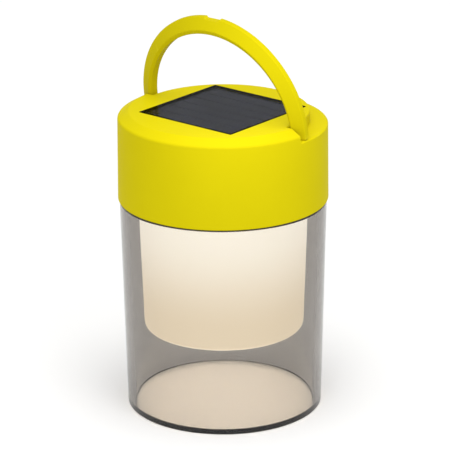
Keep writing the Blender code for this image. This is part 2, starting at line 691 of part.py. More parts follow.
def make_wires(cap):
    negative_x, positive_x = contact_places()
    roof = 152.9
    land = BOARD_HIGH[2] + 0.4
    strip = PLATE_Z - GAP + 0.4
    under_panel = panel_floor() + TAPE_THICKNESS + GAP
    red, black, white = (0.6, 0.03, 0.02), (0.02, 0.02, 0.02), (0.8, 0.8, 0.78)
    routes = {
        "panel_wire_red": (red, [(-4, -8, under_panel), (-4, -10, 176), (-9, -16, 163),
                                 (-15, -21, 152), (-17, -22, 147), (-17, -22, land)]),
        "panel_wire_black": (black, [(-1, -8, under_panel), (-1, -10, 176), (-6, -16, 163),
                                     (-11, -21, 152), (-13, -22, 147), (-13, -22, land)]),
        "battery_wire_red": (red, [(positive_x, 0, roof), (positive_x, 0, 156.5), (24, -6, 162),
                                   (21, -14, 158), (20, -20, 150), (19.5, -21.5, land)]),
        "battery_wire_black": (black, [(negative_x, 0, roof), (negative_x, 0, 156.5), (-28, -6, 162),
                                       (-25, -15, 158), (-23.5, -20, 150), (-23, -21.5, land)]),
        "led_wire_front": (white, [(22, -STRIP_Y, strip), (22, -STRIP_Y, 138),
                                   (22.2, -STRIP_Y, 140.5), (22, -STRIP_Y, BOARD_LOW[2] - 0.4)]),
        "led_wire_rear": (white, [(22, STRIP_Y, strip), (22, STRIP_Y, 141), (20, 22, 152),
                                  (14, 10, 160), (9, -6, 161.5), (6, -16, 156), (5, -19.5, 149),
                                  (5, -20, land)]),
    }
    for name, (colour, stations) in routes.items():
        count = 3 * (len(stations) - 1)
        tube(name, smooth_route(stations, count), WIRE_RADIUS, paint(name + "_jacket", colour, 0.5), cap)


# ---------------------------------------------------------------- assembly

for item in list(bpy.data.objects):
    bpy.data.objects.remove(item)

cap_joint = empty("cap_joint", (0, 0, 0))
handle_joint_mark = empty("handle_joint", (0, 0, PIVOT_Z), cap_joint)

make_jar()
make_seal()
make_cap(cap_joint)
make_handle(handle_joint_mark)
make_panel(cap_joint)
make_carrier(cap_joint)
make_battery(cap_joint)
make_door(cap_joint)
make_light(cap_joint)
make_diffuser(cap_joint)
make_switch(cap_joint)
make_electronics(cap_joint)
make_wires(cap_joint)
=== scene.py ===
import json
import math

import bmesh
import bpy
from mathutils import Matrix, Vector


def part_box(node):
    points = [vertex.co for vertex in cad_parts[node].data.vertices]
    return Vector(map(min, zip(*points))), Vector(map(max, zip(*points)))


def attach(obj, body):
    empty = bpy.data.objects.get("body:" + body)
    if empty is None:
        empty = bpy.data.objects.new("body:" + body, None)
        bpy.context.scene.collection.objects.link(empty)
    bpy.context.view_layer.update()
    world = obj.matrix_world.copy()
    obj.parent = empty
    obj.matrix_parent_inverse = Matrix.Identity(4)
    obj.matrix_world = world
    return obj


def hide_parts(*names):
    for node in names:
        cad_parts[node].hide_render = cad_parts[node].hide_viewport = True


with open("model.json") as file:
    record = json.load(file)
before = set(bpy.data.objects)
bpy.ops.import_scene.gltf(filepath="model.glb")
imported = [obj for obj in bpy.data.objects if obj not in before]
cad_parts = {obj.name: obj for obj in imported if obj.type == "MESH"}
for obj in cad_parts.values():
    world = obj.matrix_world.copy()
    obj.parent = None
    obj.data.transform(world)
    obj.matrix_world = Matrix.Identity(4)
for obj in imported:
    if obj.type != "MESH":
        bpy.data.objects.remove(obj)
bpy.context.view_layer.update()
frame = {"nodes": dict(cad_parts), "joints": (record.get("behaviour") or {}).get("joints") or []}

scene = bpy.context.scene

# ------------------------------------------------------------------ studio
# A pale table top under an even white sky, with one large soft lamp above and a small one close to the cap.
# A third lamp on the jar's floor stands for the light that the diffuser throws down. The camera looks down on
# the lantern past the right foot of its handle.
camera_angle = math.radians(39.9)
camera_turn = Matrix.Rotation(camera_angle, 4, "Z")
camera_place = camera_turn @ Vector((0, -1.6509, 0.7041))
camera_aim = camera_turn @ Vector((0.00095, 0, 0.11475))
camera_roll = Matrix.Rotation(-0.007, 4, "Z")


def placed(name, data):
    """A new object in the scene."""
    item = bpy.data.objects.new(name, data)
    scene.collection.objects.link(item)
    return item


def facing(place, aim):
    """The matrix of a camera or a lamp at one place that faces another."""
    return Matrix.Translation(place) @ (aim - place).to_track_quat("-Z", "Y").to_matrix().to_4x4()


def hidden_lamp(name, shape, size, energy):
    """A soft lamp that lights the lantern and isn't seen itself."""
    light = bpy.data.lights.new(name, "AREA")
    light.shape = shape
    light.size = size
    light.energy = energy
    lamp = placed(name, light)
    lamp.visible_camera = False
    return lamp


lens = bpy.data.cameras.new("camera")
lens.sensor_width = 36
lens.lens = 226.1
camera = placed("camera", lens)
camera.matrix_world = facing(camera_place, camera_aim) @ camera_roll
scene.camera = camera
scene.view_settings.view_transform = "Standard"

overhead_tilt = math.radians(8)
overhead_light = bpy.data.lights.new("studio_light", "SUN")
overhead_light.energy = 1.25
overhead_light.angle = math.radians(42)
overhead_lamp = placed("studio_light", overhead_light)
overhead_lamp.rotation_euler = (overhead_tilt, 0, camera_angle)

near_lamp = hidden_lamp("near_lamp", "SQUARE", 0.10, 0.17)
near_place = camera_turn @ Vector((0.03, -0.15, 0.31))
near_lamp.matrix_world = facing(near_place, camera_turn @ Vector((0, -0.02, 0.17)))

glow_lamp = hidden_lamp("glow_lamp", "DISK", 0.114, 0.12)
glow_lamp.data.color = (1.0, 0.92, 0.79)
glow_lamp.location = (0, 0, 0.004)
glow_lamp.visible_glossy = False

world = bpy.data.worlds.new("white_room")
scene.world = world
world.use_nodes = True
sky = world.node_tree.nodes["Background"].inputs
sky["Color"].default_value = (1, 1, 1, 1)
sky["Strength"].default_value = 0.70

table_mesh = bmesh.new()
bmesh.ops.create_grid(table_mesh, x_segments=1, y_segments=1, size=6)
bmesh.ops.translate(table_mesh, verts=table_mesh.verts, vec=(0, 0, -0.0002))
table_data = bpy.data.meshes.new("table_top")
table_mesh.to_mesh(table_data)
table_mesh.free()
table = placed("table_top", table_data)
table_white = bpy.data.materials.new("table_white")
table_white.use_nodes = True
table_finish = table_white.node_tree.nodes["Principled BSDF"].inputs
table_finish["Base Color"].default_value = (0.95, 0.95, 0.95, 1)
table_finish["Roughness"].default_value = 0.9
table_data.materials.append(table_white)

# --------------------------------------------------------------------- jar
# A thick cup of clear plastic, smoked slightly brown, moulded in one piece. Its neck carries a three-start
# thread that the cap screws onto, and its flat base stands on the table.
MM = 0.001                # meshes are made in millimetres


def node_box(node):
    """Lowest and highest corner of a CAD node, in millimetres."""
    low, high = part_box(node)
    return low / MM, high / MM


def rounded(corners, steps=6):
    """A closed outline. A corner given as (x, y, radius) is an arc."""
    points = []
    for index, corner in enumerate(corners):
        here = Vector(corner[:2])
        if len(corner) == 2:
            points.append(here)
            continue
        before = (Vector(corners[index - 1][:2]) - here).normalized()
        after = (Vector(corners[(index + 1) % len(corners)][:2]) - here).normalized()
        half = before.angle(after) / 2
        centre = here + (before + after).normalized() * corner[2] / math.sin(half)
        start = here + before * corner[2] / math.tan(half) - centre
        sweep = math.copysign(math.pi - 2 * half, -before.cross(after))
        for step in range(steps + 1):
            points.append(centre + Matrix.Rotation(sweep * step / steps, 2) @ start)
    return points


def outward(mesh):
    """A mesh with its faces turned outwards."""
    bmesh.ops.recalc_face_normals(mesh, faces=mesh.faces)
    return mesh


def turned(corners, angle=360.0, start=0.0, rise=0.0, steps=180, arc_steps=6):
    """A (radius, height) outline turned about the lantern's axis: all round, or an arc that may climb."""
    mesh = bmesh.new()
    points = rounded(corners, arc_steps)
    verts = [mesh.verts.new((point.x, 0, point.y)) for point in points]
    edges = [
        mesh.edges.new((verts[index - 1], vert)) for index, vert in enumerate(verts)
        if points[index - 1].x > 0 or points[index].x > 0
    ]
    bmesh.ops.rotate(mesh, verts=verts, matrix=Matrix.Rotation(math.radians(start), 3, "Z"))
    bmesh.ops.spin(
        mesh, geom=verts + edges, axis=(0, 0, 1), angle=math.radians(angle),
        dvec=(0, 0, rise / steps), steps=steps, use_merge=angle == 360.0,
    )
    bmesh.ops.remove_doubles(mesh, verts=mesh.verts, dist=1e-4)
    if angle != 360.0:
        bmesh.ops.holes_fill(mesh, edges=mesh.edges)
    return outward(mesh)


def combined(mesh, *tools, operation="DIFFERENCE"):
    """Cuts tools away from a mesh, or joins them to it, and uses the tools up."""
    holders = []
    for part in (mesh, *tools):
        data = bpy.data.meshes.new("blank")
        part.to_mesh(data)
        part.free()
        holders.append(placed("blank", data))
    for tool in holders[1:]:
        modifier = holders[0].modifiers.new("combine", "BOOLEAN")
        modifier.operation = operation
        modifier.object = tool
    graph = bpy.context.evaluated_depsgraph_get()
    result = bmesh.new()
    result.from_mesh(holders[0].evaluated_get(graph).to_mesh())
    for holder in holders:
        bpy.data.meshes.remove(holder.data)
    return result


def fitted(name, mesh, finish, slot, body, *nodes):
    """Makes a piece from a mesh in millimetres, fixes it to a body, and lets it stand for CAD nodes."""
    bmesh.ops.scale(mesh, verts=mesh.verts, vec=(MM, MM, MM))
    data = bpy.data.meshes.new(name)
    mesh.to_mesh(data)
    mesh.free()
    data.shade_smooth()
    data.set_sharp_from_angle(angle=math.radians(35))
    data.materials.append(finish.material)
    item = placed(name, data)
    smoothing = item.modifiers.new("even_shading", "WEIGHTED_NORMAL")
    smoothing.keep_sharp = True
    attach(item, body)
    if nodes:
        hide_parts(*nodes)
    return item


class Value:
    """A number that varies over a surface. Python's arithmetic on it adds Math nodes."""

    def __init__(self, finish, socket):
        self.finish = finish
        self.socket = socket

    def maths(self, operation, *values):
        return self.finish.node("ShaderNodeMath", {"operation": operation}, dict(enumerate(values)))

    def __add__(self, other):
        return self.maths("ADD", self, other)

    def __sub__(self, other):
        return self.maths("SUBTRACT", self, other)

    def __rsub__(self, other):
        return self.maths("SUBTRACT", other, self)

    def __mul__(self, other):
        return self.maths("MULTIPLY", self, other)

    def __truediv__(self, other):
        return self.maths("DIVIDE", self, other)

    def __gt__(self, other):
        return self.maths("GREATER_THAN", self, other)

    def __lt__(self, other):
        return self.maths("LESS_THAN", self, other)

    def __abs__(self):
        return self.maths("ABSOLUTE", self)

    def either(self, other):
        return self.maths("MAXIMUM", self, other)

    def zigzag(self, reach, shift=60.0):
        """Runs up and down between 0 and reach."""
        return self.maths("PINGPONG", self + shift, reach)

    __radd__ = __add__


class Finish:
    """A material round one Principled shader. Its constants are given by socket name."""

    def __init__(self, name, **constants):
        self.material = bpy.data.materials.new(name)
        self.material.use_nodes = True
        self.shader = self.material.node_tree.nodes["Principled BSDF"]
        self.feed(self.shader, {key.replace("_", " "): value for key, value in constants.items()})

    def feed(self, node, sockets):
        """Sets or links the sockets of a node."""
        for key, value in sockets.items():
            if isinstance(value, Value):
                self.material.node_tree.links.new(value.socket, node.inputs[key])
            elif isinstance(value, tuple) and node.inputs[key].type == "RGBA":
                node.inputs[key].default_value = (*value, 1.0)
            else:
                node.inputs[key].default_value = value

    def node(self, kind, settings, sockets, output=0):
        """Any node: its settings are set first, then its sockets."""
        node = self.material.node_tree.nodes.new(kind)
        for key, value in settings.items():
            setattr(node, key, value)
        self.feed(node, sockets)
        return Value(self, node.outputs[output])

    def place(self):
        """Object coordinates, in metres."""
        return self.node("ShaderNodeTexCoord", {}, {}, "Object")

    def axis(self, name):
        """One object coordinate, in millimetres."""
        return self.node("ShaderNodeSeparateXYZ", {}, {0: self.place()}, name) / MM

    def noise(self, size, detail=2.0):
        """Cloudy noise from 0 to 1 whose blots are about size millimetres across."""
        return self.node("ShaderNodeTexNoise", {},
                         {"Vector": self.place(), "Scale": 1 / (size * MM), "Detail": detail}, "Fac")

    def ramp(self, value, low, high):
        """0 where value is at low, 1 at high, smooth between."""
        return self.node("ShaderNodeMapRange", {"interpolation_type": "SMOOTHSTEP"},
                         {"Value": value, "From Min": low, "From Max": high})

    def mix(self, share, first, second):
        """A colour between two."""
        return self.node("ShaderNodeMix", {"data_type": "RGBA"}, {0: share, 6: first, 7: second}, 2)

    def relief(self, height, depth):
        """A normal whose bumps are depth millimetres high."""
        return self.node("ShaderNodeBump", {}, {"Height": height, "Distance": depth * MM, "Strength": 1.0})

    def set(self, **sockets):
        self.feed(self.shader, {key.replace("_", " "): value for key, value in sockets.items()})


def grey(value):
    return value, value, value


def smoked_plastic():
    """Clear plastic that takes up light, blue most, over its thickness."""
    finish = Finish("smoked_clear_plastic", Transmission_Weight=1.0, IOR=1.5, Roughness=0.015)
    flow = finish.noise(24, 1.0)
    finish.set(Base_Color=finish.mix(flow, (0.985, 0.98, 0.975), grey(1.0)),
               Normal=finish.relief(flow, 0.02))
    tree = finish.material.node_tree
    smoke = tree.nodes.new("ShaderNodeVolumeAbsorption")
    smoke.inputs["Color"].default_value = (0.385, 0.34, 0.29, 1)
    smoke.inputs["Density"].default_value = 186
    tree.links.new(smoke.outputs[0], tree.nodes["Material Output"].inputs["Volume"])
    return finish


thread_foot, thread_lead, thread_starts = 138.0, 12.0, (0, 120, 240)      # the last ones in degrees


def thread_rib(start):
    """One climbing rib of the jar's thread, which fades into the neck at both ends."""
    root, crest, low, high = 60.8, 62.3, thread_foot, thread_foot + 1.8
    sweep = 90.0
    mesh = turned([(root, low), (crest, low + 0.25, 0.2), (crest, high - 0.25, 0.2), (root, high)],
                  angle=sweep, start=start, rise=thread_lead * sweep / 360, steps=36, arc_steps=2)
    for vert in mesh.verts:
        turn = (math.degrees(math.atan2(vert.co.y, vert.co.x)) - start) % 360
        end = min(turn, abs(sweep - turn)) / 7
        radius = math.hypot(vert.co.x, vert.co.y)
        if end < 1 and radius > root + 0.01:
            kept = (root + 0.05 + (radius - root - 0.05) * math.sin(end * math.pi / 2)) / radius
            vert.co.x *= kept
            vert.co.y *= kept
    return mesh


jar_high = node_box("jar")[1]
shoulder_radius, neck_radius, floor_radius, floor_thickness = jar_high.x, 61.2, 56.4, 2.0
shoulder_height = node_box("seal_ring")[0].z - 0.3
jar_mesh = turned([
    (0, 0), (shoulder_radius - 3.1, 0, 0.5), (shoulder_radius, shoulder_height, 0.5),
    (neck_radius, shoulder_height, 0.3), (neck_radius, jar_high.z, 0.6),
    (neck_radius - 1.7, jar_high.z, 0.6), (floor_radius, floor_thickness, 0.8), (0, floor_thickness),
])
jar_mesh = combined(jar_mesh, *[thread_rib(start + 1) for start in thread_starts], operation="UNION")
fitted("jar_cup", jar_mesh, smoked_plastic(), "smoked_clear_plastic", "jar", "jar")

# --------------------------------------------------------------- seal ring
# A thin ring of dark rubber that lies on the jar's shoulder and is squeezed by the rim of the cap.


def seal_rubber():
    finish = Finish("seal_rubber", Specular_IOR_Level=0.3)
    dust = finish.noise(1.6, 4.0)
    finish.set(Base_Color=finish.mix(dust, (0.060, 0.050, 0.036), (0.095, 0.080, 0.060)),
               Roughness=0.5 + dust * 0.25, Normal=finish.relief(finish.noise(0.3), 0.02))
    return finish


seal_low, seal_high = node_box("seal_ring")
seal_radius = seal_high.x - 0.75
seal_mesh = turned([
    (neck_radius + 0.4, seal_low.z, 0.2), (seal_radius, seal_low.z, 0.25),
    (seal_radius, seal_high.z, 0.25), (neck_radius + 0.4, seal_high.z, 0.2),
], arc_steps=4)
fitted("seal_band", seal_mesh, seal_rubber(), "seal_rubber", "seal", "seal_ring")

# --------------------------------------------------------------- cap shell
# The yellow cap, moulded in one piece of satin plastic: a drum with a bevelled shoulder, a flat top with a
# square pocket for the panel, and a step round its far half that the handle folds down into.
SECTION_TURN = 0.5        # turns a tool a little, so that its edges miss the edges that it cuts


def yellow_plastic(name, painted_shade):
    """Deep yellow moulded plastic with a fine satin grain and paler convex edges, a painted edge highlight.
    """
    finish = Finish(name, IOR=1.45, Specular_IOR_Level=0.01)
    cloud = finish.noise(34, 3.0)
    skin = finish.noise(0.28, 3.0)
    specks = finish.ramp(finish.noise(0.9, 1.0), 0.70, 0.80)
    # Pointiness picks out the convex edges, which are mixed towards a paler yellow as a painted highlight.
    edge = finish.node("ShaderNodeNewGeometry", {}, {}, "Pointiness")
    edge_highlight = finish.ramp(edge, 0.53, 0.60)
    # The factor scales the whole yellow; below 1 it is painted shade, which makes the handle darker than the
    # cap of the same plastic.
    deep, bright = [tuple(channel * painted_shade for channel in tone) for tone in
                    ((0.625, 0.530, 0.0030), (0.665, 0.568, 0.0040))]
    pigment = finish.mix(specks * 0.25, finish.mix(cloud, deep, bright), (0.55, 0.43, 0.003))
    finish.set(Base_Color=finish.mix(edge_highlight * 0.35, pigment, (0.72, 0.63, 0.02)),
               Roughness=0.40 + skin * 0.12 + cloud * 0.05,
               Normal=finish.relief(skin, 0.012))
    return finish


def shifted(mesh, vec):
    """A whole mesh, moved."""
    bmesh.ops.translate(mesh, verts=mesh.verts, vec=vec)
    return mesh


def box_tool(low, high):
    """A block between two corners, in millimetres."""
    mesh = bmesh.new()
    bmesh.ops.create_cube(mesh, size=1.0)
    bmesh.ops.scale(mesh, verts=mesh.verts, vec=Vector(high) - Vector(low))
    return shifted(mesh, (Vector(high) + Vector(low)) / 2)


def rod(radius, start, end, end_radius=None, steps=32):
    """A round bar between two points, which may taper."""
    start, end = Vector(start), Vector(end)
    turn = (end - start).to_track_quat("Z", "X").to_matrix().to_4x4()
    mesh = bmesh.new()
    bmesh.ops.create_cone(
        mesh, cap_ends=True, segments=steps, radius1=radius, radius2=end_radius or radius,
        depth=(end - start).length, matrix=Matrix.Translation((start + end) / 2) @ turn,
    )
    return mesh


def cut_off(mesh, normal, distance):
    """Cuts off what lies further out than a distance along a normal, and closes the cut."""
    bmesh.ops.bisect_plane(
        mesh, geom=mesh.verts[:] + mesh.edges[:] + mesh.faces[:],
        plane_co=Vector(normal) * distance, plane_no=normal, clear_outer=True,
    )
    bmesh.ops.holes_fill(mesh, edges=mesh.edges)
    return outward(mesh)


def arc(centre, radius, first, last, steps=8):
    """Points of an arc, between two angles in degrees."""
    turns = [math.radians(first + (last - first) * step / steps) for step in range(steps + 1)]
    return [(centre[0] + radius * math.cos(turn), centre[1] + radius * math.sin(turn)) for turn in turns]


def joint_place(name):
    """Where a CAD joint is, in millimetres."""
    joint = next(joint for joint in frame["joints"] if joint["name"] == name)
    return [value / MM for value in joint["pos_m"]]


cap_low, cap_high = node_box("cap_shell")
rim_z, top_z = cap_low.z, cap_high.z
cap_radius = cap_high.x
pivot_z = joint_place("handle_fold")[2]
step_radius, step_end_y = 53.2, -4.5
ledge_z, ledge_round = top_z - 7.7, 1.6
ledge_under = top_z - 10.5
panel_low, panel_high = node_box("panel_cover")
pocket_half = panel_high.x + 0.3
pocket_floor = node_box("panel_tape")[0].z - 0.3
window_half = 30.0
boss_circle, boss_angles = 55.4, (90, 210, 330)
plate_top = rim_z + 4.4


def on_circle(radius, degrees, z):
    angle = math.radians(degrees)
    return Vector((radius * math.cos(angle), radius * math.sin(angle), z))


def step_tool():
    """Everything above the ledge and outside the panel's raised field, with both edges rounded."""
    outer = (cap_radius - 0.3 - ledge_round, ledge_z - ledge_round)
    section = [(step_radius, ledge_z, 0.6)] + arc(outer, ledge_round, 90, 0) + [
        (cap_radius + 4, ledge_z - ledge_round), (cap_radius + 4, top_z + 3), (step_radius - 0.5, top_z + 3),
    ] + arc((step_radius - 0.5, top_z - 0.5), 0.5, 90, 0, 4)
    return cut_off(turned(section, start=SECTION_TURN), (0, -1, 0), -step_end_y)


def pocket_walls():
    """The block under the roof that the panel's pocket is sunk in, trimmed by the step's wall."""
    mesh = turned([(0, pocket_floor - 2), (step_radius - 0.1, pocket_floor - 2),
                   (step_radius - 0.1, top_z - 0.8), (0, top_z - 0.8)], start=SECTION_TURN)
    for normal in ((1, 0, 0), (-1, 0, 0), (0, 1, 0), (0, -1, 0)):
        cut_off(mesh, normal, pocket_half + 2)
    return mesh


def pocket_tool():
    """The pocket, with a small chamfer round its mouth."""
    chamfer = 0.25
    mesh = box_tool((-pocket_half, -pocket_half, pocket_floor), (pocket_half, pocket_half, top_z - chamfer))
    lid = max(mesh.faces, key=lambda face: face.calc_center_median().z)
    for scale, z in ((1 + chamfer / pocket_half, top_z + 0.001), (1, top_z + 3)):
        lid = bmesh.ops.extrude_discrete_faces(mesh, faces=[lid])["faces"][0]
        for vert in lid.verts:
            vert.co.x *= scale
            vert.co.y *= scale
            vert.co.z = z
    bmesh.ops.remove_doubles(mesh, verts=mesh.verts, dist=1e-5)
    return outward(mesh)


def thread_lug(start):
    """One lug inside the rim, which rides under a rib of the jar."""
    rise = thread_lead / 360
    top = thread_foot + 2.0 * rise
    tip, root, sweep = 61.5, cap_radius - 1.8, 12
    return turned([(tip, top - 1.35), (root, top - 1.6), (root, top), (tip, top - 0.25)],
                  angle=sweep, start=start, rise=sweep * rise, steps=8)


core_radius, roof_under = 51.0, top_z - 2.6
bevel_z, flat_radius, hollow_radius, hollow_top = 186.2, 57.7, 60.6, 186.9
cap_mesh = turned([
    (cap_radius, rim_z, 0.5), (cap_radius - 0.5, bevel_z, 2.0), (flat_radius, top_z, 2.0), (0, top_z),
    (0, roof_under), (core_radius, roof_under, 1.0), (core_radius, ledge_under), (62.2, ledge_under, 0.8),
    (62.6, rim_z, 0.4),
], arc_steps=8)
front_hollow = turned([
    (core_radius - 1, ledge_under - 1), (hollow_radius, ledge_under - 1), (hollow_radius, bevel_z - 1.2, 0.6),
    (hollow_radius - 2.2, hollow_top, 0.6), (core_radius - 1, hollow_top),
], start=SECTION_TURN)
cut_off(front_hollow, (0, 1, 0), step_end_y - 2)
cap_mesh = combined(cap_mesh, front_hollow, step_tool())
cap_mesh = combined(cap_mesh, pocket_walls(), operation="UNION")
cap_mesh = combined(cap_mesh, pocket_tool(), box_tool((-window_half, -window_half, pocket_floor - 4),
                                                      (window_half, window_half, pocket_floor + 1)))
pivot_blocks = [box_tool((inner, -4.5, top_z - 9), (outer, 4.5, top_z - 1))
                for inner, outer in ((-52.5, -48), (48, 52.5))]
boss_places = [on_circle(boss_circle, angle, plate_top) for angle in boss_angles]
bosses = [rod(3.0, place, (place.x, place.y, ledge_under + 1.5 if place.y > 20 else roof_under + 0.1))
          for place in boss_places]
lugs = [thread_lug(start + 5) for start in thread_starts]
cap_mesh = combined(cap_mesh, *pivot_blocks, *bosses, *lugs, operation="UNION")
pin_bores = [rod(1.8, (side * 49.6, 0, pivot_z), (side * (step_radius + 2), 0, pivot_z)) for side in (-1, 1)]
boss_bores = [rod(1.3, place - Vector((0, 0, 1)), place + Vector((0, 0, 11))) for place in boss_places]
cap_mesh = combined(cap_mesh, *pin_bores, *boss_bores)
fitted("cap_cover", cap_mesh, yellow_plastic("cap_yellow", 1.0), "yellow_plastic", "cap", "cap_shell")

# ------------------------------------------------------- handle and its pins
# A bail of the same yellow plastic with a bevelled section, thicker at its crown, and a shallow notch there
# to lift it by. It turns on two steel pins pressed into its feet, and leans on the ends of the cap's step.
handle_lean = 9.2         # degrees
handle_radius, handle_width, handle_edge = 64.1, 7.1, 3.3
bevel_reach, foot_depth, crown_extra = 7.4, 9.1, 1.15
foot_radius = 3.6


def handle_arch():
    """Half a ring about the pivot line, still upright, with straight feet below."""
    front = handle_width / 2
    section = rounded([
        (handle_radius, front, 0.6), (handle_radius, front - handle_edge, 0.8),
        (handle_radius - bevel_reach, -front, 0.7), (handle_radius - foot_depth, 1.1 - front, 0.5),
        (handle_radius - foot_depth, front, 0.7),
    ])
    mesh = bmesh.new()
    verts = [mesh.verts.new((point.x, point.y, 0)) for point in section]
    edges = [mesh.edges.new((verts[index - 1], vert)) for index, vert in enumerate(verts)]
    bmesh.ops.spin(mesh, geom=verts + edges, axis=(0, -1, 0), angle=math.pi, steps=128)
    for vert in mesh.verts:
        radius = math.hypot(vert.co.x, vert.co.z)
        share = (handle_radius - bevel_reach - radius) / (foot_depth - bevel_reach)
        if share > 0:
            crown = (vert.co.z / radius) ** 2 * crown_extra * share
            vert.co.x *= (radius - crown) / radius
            vert.co.z *= (radius - crown) / radius
    ends = [edge for edge in mesh.edges if edge.is_boundary]
    grown = bmesh.ops.extrude_edge_only(mesh, edges=ends)["geom"]
    moved = [item for item in grown if isinstance(item, bmesh.types.BMVert)]
    bmesh.ops.translate(mesh, verts=moved, vec=(0, 0, -foot_radius - 0.8))
    bmesh.ops.holes_fill(mesh, edges=mesh.edges)
    return outward(mesh)


def drawn(corners, low_y, high_y):
    """An (x, z) outline extruded along Y."""
    mesh = bmesh.new()
    face = mesh.faces.new([mesh.verts.new((point.x, low_y, point.y)) for point in rounded(corners)])
    grown = bmesh.ops.extrude_face_region(mesh, geom=[face])["geom"]
    moved = [item for item in grown if isinstance(item, bmesh.types.BMVert)]
    bmesh.ops.translate(mesh, verts=moved, vec=(0, high_y - low_y, 0))
    return outward(mesh)


def swung(mesh, degrees, axis):
    """A whole mesh, turned about an axis."""
    bmesh.ops.rotate(mesh, verts=mesh.verts, matrix=Matrix.Rotation(math.radians(degrees), 3, axis))
    return mesh


def foot_tool():
    """What is taken off below the pivot line so that both feet end in an arc about it."""
    below = [(6, 0), (6, -7), (-6, -7), (-6, 0)]
    return swung(drawn(arc((0, 0), foot_radius, 180, 360, 24) + below, -70, 70), 90, "Z")


def leaned(mesh):
    """Moves a mesh made about the pivot line to its place, leaning back against the step's ends."""
    return shifted(swung(mesh, handle_lean, "X"), (0, 0, pivot_z))


notch = drawn([(-6.6, handle_radius + 2), (-5.5, handle_radius - 1.6, 0.9),
               (5.5, handle_radius - 1.6, 0.9), (6.6, handle_radius + 2)], -6, 6)
pin_seats = [rod(1.55, (side * 53, 0, 0), (side * 60.5, 0, 0)) for side in (-1, 1)]
handle_mesh = leaned(combined(handle_arch(), foot_tool(), notch, *pin_seats))
# The handle gets the cap's yellow scaled to 0.88, as painted shade.
handle_yellow_shaded = yellow_plastic("handle_yellow_shaded", 0.88)
fitted("bail_handle", handle_mesh, handle_yellow_shaded, "yellow_plastic", "handle", "handle")


def turned_steel(name, mark_size):
    """Bright steel with fine turning marks round the piece."""
    finish = Finish(name, Metallic=1.0)
    marks = finish.noise(mark_size, 4.0)
    stain = finish.noise(3.0, 2.0)
    finish.set(Base_Color=finish.mix(stain, (0.55, 0.55, 0.56), (0.68, 0.68, 0.69)),
               Roughness=0.22 + marks * 0.22, Normal=finish.relief(marks, 0.008))
    return finish


def softened(mesh, width):
    """Rounds the sharp edges of a mesh."""
    sharp_from = math.radians(40)
    edges = [edge for edge in mesh.edges if edge.calc_face_angle(0) > sharp_from]
    bmesh.ops.bevel(mesh, geom=edges, offset=width, offset_type="OFFSET", segments=3,
                    profile=0.5, affect="EDGES", material=-1, clamp_overlap=True)
    return mesh


pin_steel = turned_steel("pin_steel", 0.25)
for node, side in (("pivot_pin_left", -1), ("pivot_pin_right", 1)):
    pin = softened(rod(1.5, (side * 49.9, 0, 0), (side * 60.2, 0, 0)), 0.35)
    fitted(node + "_bar", leaned(pin), pin_steel, "pin_steel", "handle", node)

# ------------------------------------------------------------- solar panel
# Six dark silicon cells on a black board under a clear cast cover, bonded into the cap's pocket with a
# frame of foam tape. Thin silver fingers and one bus bar run over each cell.


def cover_glaze():
    """The clear cover, dull enough to blur what it mirrors."""
    finish = Finish("panel_glaze", Transmission_Weight=1.0, IOR=1.05, Roughness=0.12)
    haze = finish.noise(0.5, 3.0)
    reach = abs(finish.axis("X")).either(abs(finish.axis("Y")))
    clear = finish.mix(haze, (0.86, 0.87, 0.90), (0.93, 0.94, 0.96))
    underside = finish.axis("Z") < panel_low.z + 0.1
    border = (reach + underside * 1.2) > panel_high.x - 0.7
    finish.set(Base_Color=finish.mix(border, clear, grey(0.004)),
               Normal=finish.relief(haze, 0.004))
    return finish


def cell_silicon():
    """Blue-black silicon with printed silver lines."""
    finish = Finish("solar_silicon", Specular_IOR_Level=0.02)
    x, y = finish.axis("X"), finish.axis("Y")
    grain = finish.node("ShaderNodeTexVoronoi", {}, {"Vector": finish.place(), "Scale": 420.0}, "Distance")
    tone = finish.noise(18, 2.0)
    finger_pitch, finger_width = 1.6, 0.06
    finger = x.zigzag(finger_pitch / 2) < finger_width / 2
    bar_pitch = cell_field / len(cell_nodes)
    bar = y.zigzag(bar_pitch / 2, bar_pitch * 10) < 0.25
    silver = (finger * 0.45).either(bar * 0.55)
    silicon = finish.mix(tone, (0.005, 0.0055, 0.010), (0.010, 0.0105, 0.017))
    silicon = finish.mix(grain * 0.6, silicon, (0.014, 0.015, 0.024))
    finish.set(Base_Color=finish.mix(silver, silicon, (0.07, 0.07, 0.075)), Roughness=0.30 + tone * 0.1)
    return finish


def panel_black():
    """Black glass-fibre board with its weave just showing."""
    finish = Finish("panel_backing", Specular_IOR_Level=0.06)
    x, y = finish.axis("X"), finish.axis("Y")
    weave = x.zigzag(0.35) * y.zigzag(0.35) * 8.0
    finish.set(Base_Color=finish.mix(weave, (0.006, 0.006, 0.007), (0.012, 0.012, 0.013)),
               Roughness=0.45 + weave * 0.1, Normal=finish.relief(weave, 0.01))
    return finish


def tape_foam():
    """Dark closed-cell foam."""
    finish = Finish("foam_tape", Roughness=0.95)
    cells = finish.node("ShaderNodeTexVoronoi", {}, {"Vector": finish.place(), "Scale": 3200.0}, "Distance")
    finish.set(Base_Color=finish.mix(cells, grey(0.02), grey(0.07)),
               Normal=finish.relief(cells, 0.05))
    return finish


def node_block(node, rounding):
    """A block that fills a CAD node's box, with its edges rounded."""
    return softened(box_tool(*node_box(node)), rounding)


def finished_node(node, finish):
    """Gives a CAD node its finish."""
    for holder in frame["nodes"][node].material_slots:
        holder.material = finish.material


cell_nodes = [f"solar_cell_{number}" for number in range(1, 7)]
cell_field = node_box(cell_nodes[0])[1].x * 2
fitted("panel_window", node_block("panel_cover", 0.25), cover_glaze(), "panel_glaze", "cap", "panel_cover")
silicon = cell_silicon()
for node in cell_nodes:
    finished_node(node, silicon)
finished_node("panel_board", panel_black())
finished_node("panel_tape", tape_foam())

# ----------------------------------------------------------- carrier plate
# A white moulded plate that closes the cap from below. The diffuser is pushed onto its ring, the battery bay
# stands on it, and three pan-head screws hold it to the cap's bosses.


